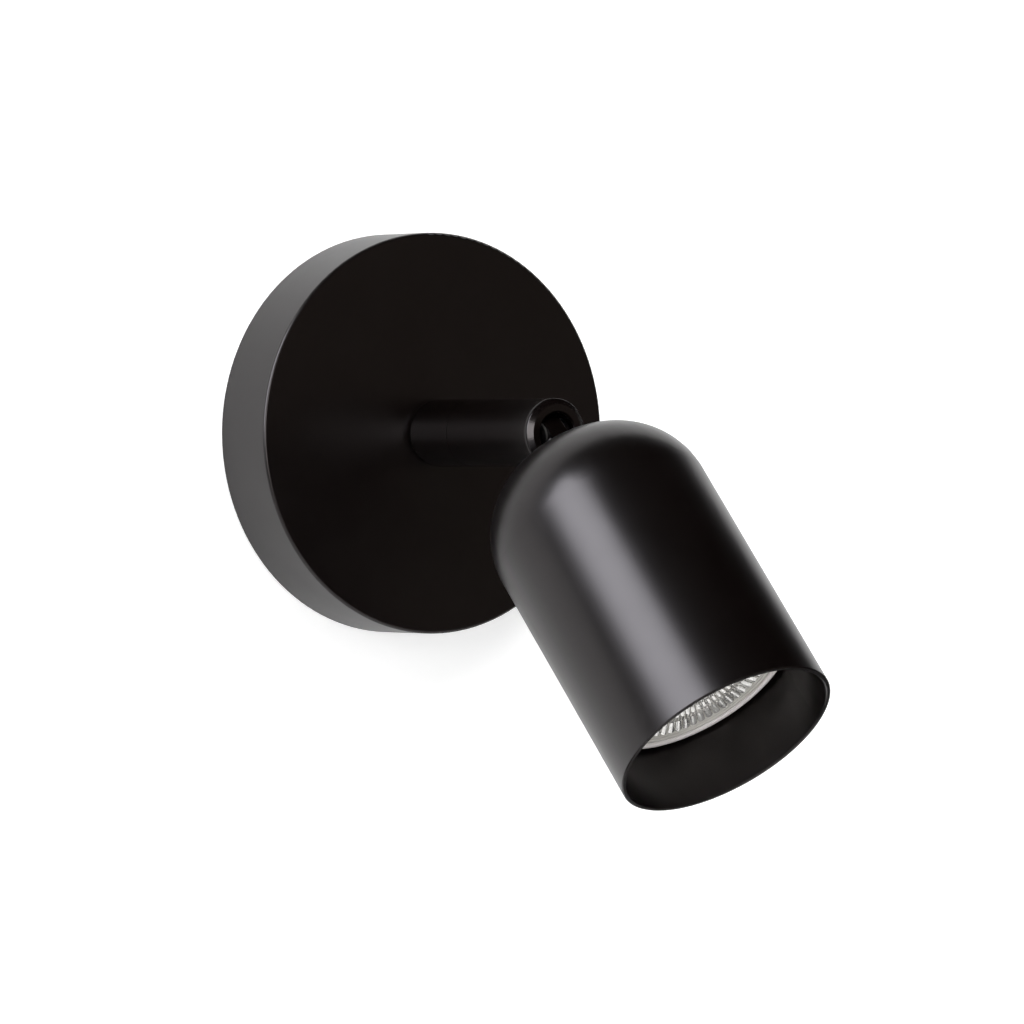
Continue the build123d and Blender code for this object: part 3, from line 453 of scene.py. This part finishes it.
def make_facet_tree():
    """Row of wedges round Z, joined to the incoming mesh."""
    tree = bpy.data.node_groups.new("facet_row", "GeometryNodeTree")
    face = tree.interface
    face.new_socket("Geometry", in_out="INPUT", socket_type="NodeSocketGeometry")
    sizes = {"Inner Radius": 0.0162, "Outer Radius": 0.0196, "Inner Height": 0.0757, "Outer Height": 0.077,
             "Crown": 0.0003, "Width": 0.9, "Foot": 0.0752}
    face.new_socket("Count", in_out="INPUT", socket_type="NodeSocketInt").default_value = 60
    for label, value in sizes.items():
        face.new_socket(label, in_out="INPUT", socket_type="NodeSocketFloat").default_value = value
    face.new_socket("Material", in_out="INPUT", socket_type="NodeSocketMaterial")
    face.new_socket("Geometry", in_out="OUTPUT", socket_type="NodeSocketGeometry")
    start = tree.nodes.new("NodeGroupInput").outputs
    finish = tree.nodes.new("NodeGroupOutput").inputs
    block = node_value(tree, "GeometryNodeMeshCube", None, Vertices_X=4, Vertices_Y=5, Vertices_Z=2)
    place = add_node(tree, "ShaderNodeSeparateXYZ", None,
                     Vector=node_value(tree, "GeometryNodeInputPosition")).outputs
    along = calculate(tree, "ADD", place["X"], 0.5)
    radius = add_node(tree, "ShaderNodeMapRange", None, Value=along, i3=start["Inner Radius"],
                      i4=start["Outer Radius"]).outputs[0]
    top = add_node(tree, "ShaderNodeMapRange", None, Value=along, i3=start["Inner Height"],
                   i4=start["Outer Height"]).outputs[0]
    pitch = calculate(tree, "DIVIDE", math.tau, start["Count"])
    angle = calculate(tree, "MULTIPLY", place["Y"], calculate(tree, "MULTIPLY", pitch, start["Width"]))
    across = calculate(tree, "MULTIPLY", place["Y"], 2.0)
    bow = calculate(tree, "SUBTRACT", 1.0, calculate(tree, "MULTIPLY", across, across))
    crowned = calculate(tree, "ADD", top, calculate(tree, "MULTIPLY", bow, start["Crown"]))
    is_top = calculate(tree, "GREATER_THAN", place["Z"], 0.0)
    height = add_node(tree, "ShaderNodeMapRange", None, Value=is_top, i3=start["Foot"], i4=crowned).outputs[0]
    polar = node_value(tree, "ShaderNodeCombineXYZ", None,
                       X=calculate(tree, "MULTIPLY", radius, calculate(tree, "COSINE", angle)),
                       Y=calculate(tree, "MULTIPLY", radius, calculate(tree, "SINE", angle)), Z=height)
    wedge = node_value(tree, "GeometryNodeSetPosition", None, Geometry=block, Position=polar)
    points = node_value(tree, "GeometryNodePoints", None, Count=start["Count"])
    turn = calculate(tree, "MULTIPLY", node_value(tree, "GeometryNodeInputIndex"), pitch)
    copies = add_node(tree, "GeometryNodeInstanceOnPoints", None, Points=points, Instance=wedge,
                      Rotation=node_value(tree, "ShaderNodeCombineXYZ", None, Z=turn)).outputs[0]
    solid = node_value(tree, "GeometryNodeRealizeInstances", None, Geometry=copies)
    coloured = node_value(tree, "GeometryNodeSetMaterial", None, Geometry=solid, Material=start["Material"])
    joined = tree.nodes.new("GeometryNodeJoinGeometry")
    tree.links.new(coloured, joined.inputs[0])
    tree.links.new(start["Geometry"], joined.inputs[0])
    tree.links.new(joined.outputs[0], finish["Geometry"])
    return tree


def set_inputs(modifier, **values):
    """Set a modifier's inputs by the sockets' identifiers."""
    sockets = {item.name: item.identifier for item in modifier.node_group.interface.items_tree
               if item.in_out == "INPUT"}
    for label, value in values.items():
        modifier[sockets[label.replace("_", " ")]] = value


def bake(thing, place):
    """Turn an object with modifiers into a plain mesh in the object's frame."""
    bpy.context.view_layer.update()
    evaluated = thing.evaluated_get(bpy.context.evaluated_depsgraph_get())
    plain = bpy.data.meshes.new_from_object(evaluated)
    thing.modifiers.clear()
    thing.data = plain
    plain.transform(place)
    return len(plain.polygons)


facet_tree = make_facet_tree()

# %% Lens disc
MM = 0.001
LENS_BACK, LENS_SEAT, LENS_FACE = 73.7 * MM, 75.2 * MM, 77.9 * MM
LENS_FLANGE, LENS_RADIUS, LENS_RIM = 23.9 * MM, 23.7 * MM, 22.6 * MM
LENS_FLOOR, LENS_BOSS, LENS_SMOOTH = 76.9 * MM, 2.6 * MM, 20.4 * MM
LENS_ROUND = 0.2 * MM
RIM_STEPS, STEP_RUN, STEP_DROP = 3, 0.1 * MM, 0.12 * MM
BOSS_SHOULDER, BOSS_TOP = 0.85, 0.5
LENS_SIDES = 120


def lens_disc(work):
    """Disc with a flange below the bezel, a stepped smooth rim, a flat floor and a low boss."""
    step = (LENS_RIM - LENS_SMOOTH) / RIM_STEPS
    shoulder = LENS_FACE - LENS_ROUND
    outline = [(0.0, LENS_BACK), (LENS_FLANGE, LENS_BACK), (LENS_FLANGE, LENS_SEAT), (LENS_RADIUS, LENS_SEAT),
               (LENS_RADIUS, shoulder), (LENS_RADIUS - LENS_ROUND, LENS_FACE)]
    outline += [(LENS_RIM + LENS_ROUND, LENS_FACE), (LENS_RIM, shoulder)]
    for n in range(1, RIM_STEPS + 1):
        outline += [(LENS_RIM - step * n + STEP_RUN, shoulder - STEP_DROP * (n - 1)),
                    (LENS_RIM - step * n, shoulder - STEP_DROP * n)]
    outline += [(LENS_SMOOTH - STEP_RUN, LENS_FLOOR), (LENS_BOSS, LENS_FLOOR),
                (LENS_BOSS * BOSS_SHOULDER, shoulder), (LENS_BOSS * BOSS_TOP, LENS_FACE), (0.0, LENS_FACE)]
    lathe(work, outline, sides=LENS_SIDES, closed=False)


lens = link_mesh("lamp_lens_optic", lens_disc, finishes["lens_plastic"])

# %% [markdown]
# The ring that holds the lens is white plastic, slightly pink. A turned outline with a quarter round on
# each front edge gives it a soft front.

# %% Lens ring
RING_INNER, RING_OUTER, RING_ROUND = 23.8 * MM, 25.4 * MM, 0.7 * MM
RING_FRONT = 78.4 * MM
RING_STEPS, RING_SIDES = 5, 144


def lens_ring(work):
    """Ring with quarter rounds on both front edges."""
    outline = [(RING_INNER, LENS_SEAT), (RING_OUTER, LENS_SEAT)]
    for centre, start in ((RING_OUTER - RING_ROUND, 0.0), (RING_INNER + RING_ROUND, math.pi / 2)):
        for n in range(RING_STEPS + 1):
            turn = start + math.pi / 2 * n / RING_STEPS
            outline.append((centre + RING_ROUND * math.cos(turn),
                            RING_FRONT - RING_ROUND + RING_ROUND * math.sin(turn)))
    lathe(work, outline, sides=RING_SIDES)
    for edge_face in work.faces:
        edge_face.smooth = True


ring = link_mesh("lamp_lens_ring", lens_ring, finishes["lamp_white"])
ring.data.transform(head_frame)
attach(ring, "lamp")
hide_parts("lamp_bezel")
print("lens ring faces", len(ring.data.polygons))

# %% [markdown]
# The rows differ in length, slope and number: long wedges outside, fine ribs, a second bright row, then
# rows of small pillows towards the boss, with fewer in each row.

# %% Lens rows
FACET_FOOT = 0.2 * MM
FACET_ROWS = [
    # spokes, inner and outer radius, inner and outer height, crown, part of the pitch
    (60, 17.4, 20.2, 76.95, 77.95, 0.34, 0.84),
    (120, 14.4, 17.2, 77.00, 77.25, 0.10, 0.58),
    (60, 12.9, 14.2, 77.00, 77.70, 0.26, 0.80),
    (72, 11.5, 12.7, 77.00, 77.25, 0.12, 0.80),
    (66, 10.1, 11.3, 77.00, 77.30, 0.12, 0.80),
    (60, 8.7, 9.9, 77.00, 77.25, 0.12, 0.80),
    (48, 7.3, 8.5, 77.00, 77.30, 0.12, 0.80),
    (36, 5.9, 7.1, 77.00, 77.25, 0.12, 0.80),
    (30, 4.5, 5.7, 77.00, 77.30, 0.12, 0.80),
    (24, 3.1, 4.3, 77.00, 77.25, 0.10, 0.80),
]
for spokes, inner, outer, low_end, high_end, crown, width in FACET_ROWS:
    row = lens.modifiers.new("facets", "NODES")
    row.node_group = facet_tree
    set_inputs(row, Count=spokes, Inner_Radius=inner * MM, Outer_Radius=outer * MM,
               Inner_Height=low_end * MM, Outer_Height=high_end * MM, Crown=crown * MM, Width=width,
               Foot=LENS_FLOOR - FACET_FOOT, Material=finishes["lens_facet"])
print("lens faces", bake(lens, head_frame), "in", len(FACET_ROWS), "rows")
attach(lens, "lamp")
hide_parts("lamp_lens")

# %% [markdown]
# ## Mouth of the arm
# The arm's mouth has a bevel all round, open at the slot in which the knuckle swings. It is a strip of
# constant outline that follows a circle and stops flush with the slot's walls, so it is built ring by
# ring: every point of the outline gets its own start and end angle from the slot's half width.

# %% Mouth bevel
ARM_RADIUS, ARM_END, SLOT_HALF = 8.42 * MM, 75.02 * MM, 5.05 * MM
BEVEL_SIDE, BEVEL_END = 74.05 * MM, 6.95 * MM
BEVEL_START, BEVEL_BACK, BEVEL_LAND = 73.5 * MM, 74.3 * MM, 0.35 * MM
BEVEL_STEPS = 72
BEVEL_OUTLINE = [(ARM_RADIUS, BEVEL_START), (ARM_RADIUS, BEVEL_SIDE),
                 (ARM_RADIUS - 0.06 * MM, BEVEL_SIDE + 0.09 * MM),
                 (BEVEL_END + 0.12 * MM, ARM_END - 0.03 * MM), (BEVEL_END, ARM_END),
                 (BEVEL_END - BEVEL_LAND, ARM_END), (BEVEL_END - BEVEL_LAND, BEVEL_BACK)]


def mouth_bevel(work):
    """Strip round the arm's mouth; the slot is on the arm's lower side."""
    loops = []
    for radius, out in BEVEL_OUTLINE:
        gap = math.asin(SLOT_HALF / radius)
        line = []
        for step in range(BEVEL_STEPS + 1):
            turn = gap + (math.tau - 2 * gap) * step / BEVEL_STEPS
            line.append(work.verts.new((radius * math.sin(turn), -out, -radius * math.cos(turn))))
        loops.append(line)
    for first, second in zip(loops, loops[1:] + loops[:1]):
        for i in range(BEVEL_STEPS):
            work.faces.new((first[i], first[i + 1], second[i + 1], second[i]))
    work.faces.new([line[0] for line in loops])
    work.faces.new([line[-1] for line in reversed(loops)])
    bmesh.ops.recalc_face_normals(work, faces=work.faces)


bevel = link_mesh("arm_mouth_bevel", mouth_bevel, bright_lacquer)
bevel.data.transform(arm_turn)
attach(bevel, "arm")
print("mouth bevel faces", len(bevel.data.polygons))

# %% [markdown]
# ## Screw threads
# The collar's shank and the end of the knuckle's stem carry a fine thread for their nuts. A thread is a
# ridge that follows a spiral, so a tree sweeps a small triangle along a spiral of the right pitch.


# %% Thread tree
def make_thread_tree():
    """Triangular ridge on a spiral round Z, from height 0 up."""
    tree = bpy.data.node_groups.new("thread_ridge", "GeometryNodeTree")
    face = tree.interface
    face.new_socket("Geometry", in_out="INPUT", socket_type="NodeSocketGeometry")
    for label, value in {"Radius": 0.003, "Pitch": 0.001, "Length": 0.007, "Ridge": 0.0004}.items():
        face.new_socket(label, in_out="INPUT", socket_type="NodeSocketFloat").default_value = value
    face.new_socket("Material", in_out="INPUT", socket_type="NodeSocketMaterial")
    face.new_socket("Geometry", in_out="OUTPUT", socket_type="NodeSocketGeometry")
    start = tree.nodes.new("NodeGroupInput").outputs
    finish = tree.nodes.new("NodeGroupOutput").inputs
    turns = calculate(tree, "DIVIDE", start["Length"], start["Pitch"])
    path = node_value(tree, "GeometryNodeCurveSpiral", None, Resolution=40, Rotations=turns,
                      Start_Radius=start["Radius"], End_Radius=start["Radius"], Height=start["Length"])
    profile = node_value(tree, "GeometryNodeCurvePrimitiveCircle", None, Resolution=3, Radius=start["Ridge"])
    ridge = tree.nodes.new("GeometryNodeCurveToMesh")
    tree.links.new(path, ridge.inputs["Curve"])
    tree.links.new(profile, ridge.inputs["Profile Curve"])
    ridge.inputs["Fill Caps"].default_value = True
    solid = node_value(tree, "GeometryNodeRealizeInstances", None, Geometry=ridge.outputs[0])
    coloured = node_value(tree, "GeometryNodeSetMaterial", None, Geometry=solid, Material=start["Material"])
    tree.links.new(coloured, finish["Geometry"])
    return tree


thread_tree = make_thread_tree()


def add_thread(name, place, body, slot, radius, pitch, length, ridge):
    """One thread as its own piece, from the plane of place along its Z."""
    thread = link_mesh(name, lambda work: work.verts.new((0, 0, 0)))
    modifier = thread.modifiers.new("thread", "NODES")
    modifier.node_group = thread_tree
    set_inputs(modifier, Radius=radius, Pitch=pitch, Length=length, Ridge=ridge, Material=finishes[slot])
    faces = bake(thread, place)
    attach(thread, body)
    print(name, faces, "faces")


# %% Threads on the stem and on the collar's shank
PIVOT_TO_THREAD, STEM_THREAD_LENGTH, STEM_THREAD_RADIUS = 8.8 * MM, 5.4 * MM, 2.95 * MM
SHANK_RADIUS, SHANK_THREAD_LENGTH, SHANK_END = 4.95 * MM, 6.0 * MM, 12.2 * MM
THREAD_PITCH, THREAD_RIDGE = 1.0 * MM, 0.28 * MM
stem_place = head_frame @ Matrix.Translation((0, 0, PIVOT_TO_THREAD))
shank_place = Matrix.Translation((0, -SHANK_END, 0)) @ Matrix.Rotation(math.pi / 2, 4, "X")
add_thread("stem_thread", stem_place, "head", "black_lacquer", STEM_THREAD_RADIUS, THREAD_PITCH,
           STEM_THREAD_LENGTH, THREAD_RIDGE)
add_thread("collar_thread", shank_place, "wall_base", "black_lacquer", SHANK_RADIUS, THREAD_PITCH,
           SHANK_THREAD_LENGTH, THREAD_RIDGE)

# %% [markdown]
# ## Studio
# A white wall stands behind the light and a white floor lies below. Both are seen only from their
# front, so a view from behind shows the light's back. The wall has a hole behind the canopy, so that
# daylight from behind reaches the bracket and the terminals.

# %% Wall and floor
WALL_RADIUS = 4.0
WALL_HOLE = 0.047
WALL_GAP = 0.0004
FLOOR_LEVEL = -1.0
FLOOR_SIZE = 14.0
PAPER = 0.90
GLOW = 0.36
MIRRORED_GLOW = 0.08


def make_paper():
    """White paper that scatters the lamps' light and glows a little to the camera and in reflections."""
    material = bpy.data.materials.new("studio_paper")
    material.use_nodes = True
    tree = material.node_tree
    tree.nodes.clear()
    ray = add_node(tree, "ShaderNodeLightPath").outputs
    mirrored = calculate(tree, "ADD", ray["Is Glossy Ray"], ray["Is Transmission Ray"], clamp=True)
    strength = calculate(tree, "ADD", calculate(tree, "MULTIPLY", ray["Is Camera Ray"], GLOW),
                         calculate(tree, "MULTIPLY", mirrored, MIRRORED_GLOW))
    glow = add_node(tree, "ShaderNodeEmission", None, Strength=strength)
    matte = add_node(tree, "ShaderNodeBsdfDiffuse", None, Color=(PAPER, PAPER, PAPER, 1.0))
    front = add_node(tree, "ShaderNodeAddShader", None, i0=matte.outputs[0], i1=glow.outputs[0])
    clear = add_node(tree, "ShaderNodeBsdfTransparent")
    behind = add_node(tree, "ShaderNodeNewGeometry").outputs["Backfacing"]
    mixed = add_node(tree, "ShaderNodeMixShader", None, Fac=behind, i1=front.outputs[0], i2=clear.outputs[0])
    output = tree.nodes.new("ShaderNodeOutputMaterial")
    tree.links.new(mixed.outputs[0], output.inputs["Surface"])
    return material


def wall_ring(work):
    """Flat ring in the wall's plane that faces the room."""
    sides = 96
    rings = [[work.verts.new((radius * math.sin(math.tau * i / sides), WALL_GAP,
                              radius * math.cos(math.tau * i / sides))) for i in range(sides)]
             for radius in (WALL_HOLE, 0.3, WALL_RADIUS)]
    for inner, outer in zip(rings, rings[1:]):
        for i in range(sides):
            face = work.faces.new((inner[i], outer[i], outer[i - 1], inner[i - 1]))
            face.normal_update()
            if face.normal.y > 0:
                face.normal_flip()


def floor_sheet(work):
    """Square sheet that faces up."""
    half = FLOOR_SIZE / 2
    corners = [work.verts.new((x, y, FLOOR_LEVEL)) for x, y in
               ((-half, -half), (half, -half), (half, half), (-half, half))]
    work.faces.new(corners)


paper = make_paper()
wall = link_mesh("studio_wall", wall_ring, paper)
floor = link_mesh("studio_floor", floor_sheet, paper)
print("studio wall faces", [round(v, 2) for v in wall.data.polygons[0].normal],
      "floor faces", [round(v, 2) for v in floor.data.polygons[0].normal])

# %% [markdown]
# ## Light
# A black product is lit by what it mirrors. One tall softbox stands to the left and makes the stripe on
# the shade, and a narrow one in front lights the arm. Both are seen by reflections only. Two more light
# the pale surfaces and are left out of reflections: one above in front, for the soft shadow below the
# canopy, and one level with the light, which reaches into the shade. Black cloth round the set, which
# only reflections see, keeps the rest of it deep.

# %% World
world = bpy.data.worlds.new("studio_air")
scene.world = world
world.use_nodes = True
air = world.node_tree
air.nodes.clear()
AMBIENT = 0.45
ray = add_node(air, "ShaderNodeLightPath").outputs
seen = calculate(air, "ADD", ray["Is Camera Ray"], ray["Is Glossy Ray"])
seen = calculate(air, "ADD", seen, ray["Is Transmission Ray"], clamp=True)
level = remap(air, seen, 0.0, 1.0, AMBIENT, 1.0)
sky = add_node(air, "ShaderNodeBackground", None, Strength=level, Color=(1.0, 1.0, 1.0, 1.0))
air.links.new(sky.outputs[0], air.nodes.new("ShaderNodeOutputWorld").inputs["Surface"])


# %% Lamps
LIGHT_CENTRE = (0.0, -0.07, -0.02)


def add_softbox(name, direction, distance, width, height, power):
    """Rectangular lamp on a bearing from the middle of the wall light, turned to face it."""
    data = bpy.data.lights.new(name, "AREA")
    data.shape = "RECTANGLE"
    data.size, data.size_y = width, height
    data.energy = power
    lamp = bpy.data.objects.new(name, data)
    scene.collection.objects.link(lamp)
    heading = Vector(direction).normalized()
    lamp.location = Vector(LIGHT_CENTRE) + heading * distance
    lamp.rotation_mode = "QUATERNION"
    lamp.rotation_quaternion = (-heading).to_track_quat("-Z", "Y")
    return lamp


key = add_softbox("tall_softbox", (-0.835, -0.21, 0.41), 1.5, 0.95, 1.30, 40.0)
key.data.color = (0.90, 0.94, 1.0)
front = add_softbox("front_softbox", (-0.50, -0.84, 0.08), 1.7, 0.55, 1.0, 11.5)
fill = add_softbox("front_fill", (-0.45, -0.86, 0.0), 1.7, 1.0, 1.2, 11.0)
soft = add_softbox("top_softbox", (-0.15, -0.62, 0.77), 1.7, 1.3, 1.1, 24.0)
key.visible_diffuse = front.visible_diffuse = False
fill.visible_glossy = soft.visible_glossy = False
for lamp in (key, front, fill, soft):
    print("lamp", lamp.name, [round(v, 2) for v in lamp.location], lamp.data.energy, "W")

# %% [markdown]
# The black cloth is a tent round the set with a round window over the wall. Only mirror-like rays see
# it. Low down in front it lets in a little warm light from the room, black above and at the sides.

# %% Black cloth
CLOTH_RADIUS = 2.4
CLOTH_WINDOW = 0.30
CLOTH_GAP = 0.002
ROOM_LIGHT = 0.155


def cloth_tent(work):
    """Half sphere in front of the wall, closed along the wall by a ring round the window."""
    sides, steps = 48, 12
    rings = []
    for step in range(steps):
        turn = math.pi / 2 * step / steps
        rings.append((CLOTH_RADIUS * math.cos(turn), -CLOTH_GAP - CLOTH_RADIUS * math.sin(turn)))
    rings.insert(0, (CLOTH_WINDOW, -CLOTH_GAP))
    loops = [[work.verts.new((radius * math.sin(math.tau * i / sides), out,
                              radius * math.cos(math.tau * i / sides))) for i in range(sides)]
             for radius, out in rings]
    tip = work.verts.new((0, -CLOTH_GAP - CLOTH_RADIUS, 0))
    for inner, outer in zip(loops, loops[1:]):
        for i in range(sides):
            work.faces.new((inner[i], outer[i], outer[i - 1], inner[i - 1]))
    for i in range(sides):
        work.faces.new((loops[-1][i], tip, loops[-1][i - 1]))


def make_cloth():
    """Black, with a faint warm glow low down in front."""
    material = bpy.data.materials.new("black_cloth")
    material.use_nodes = True
    tree = material.node_tree
    tree.nodes.clear()
    place = add_node(tree, "ShaderNodeTexCoord").outputs["Object"]
    axes = add_node(tree, "ShaderNodeSeparateXYZ", None, Vector=place).outputs
    ahead = remap(tree, axes["Y"], -0.3 * CLOTH_RADIUS, -0.6 * CLOTH_RADIUS)
    low_down = remap(tree, axes["Z"], 0.60 * CLOTH_RADIUS, 0.30 * CLOTH_RADIUS)
    strength = calculate(tree, "MULTIPLY", calculate(tree, "MULTIPLY", ahead, low_down), ROOM_LIGHT)
    glow = add_node(tree, "ShaderNodeEmission", None, Strength=strength, Color=(1.0, 0.86, 0.74, 1.0))
    output = tree.nodes.new("ShaderNodeOutputMaterial")
    tree.links.new(glow.outputs[0], output.inputs["Surface"])
    return material


cloth = link_mesh("black_cloth", cloth_tent, make_cloth())
cloth.visible_camera = cloth.visible_diffuse = cloth.visible_shadow = False
cloth.visible_transmission = cloth.visible_volume_scatter = False
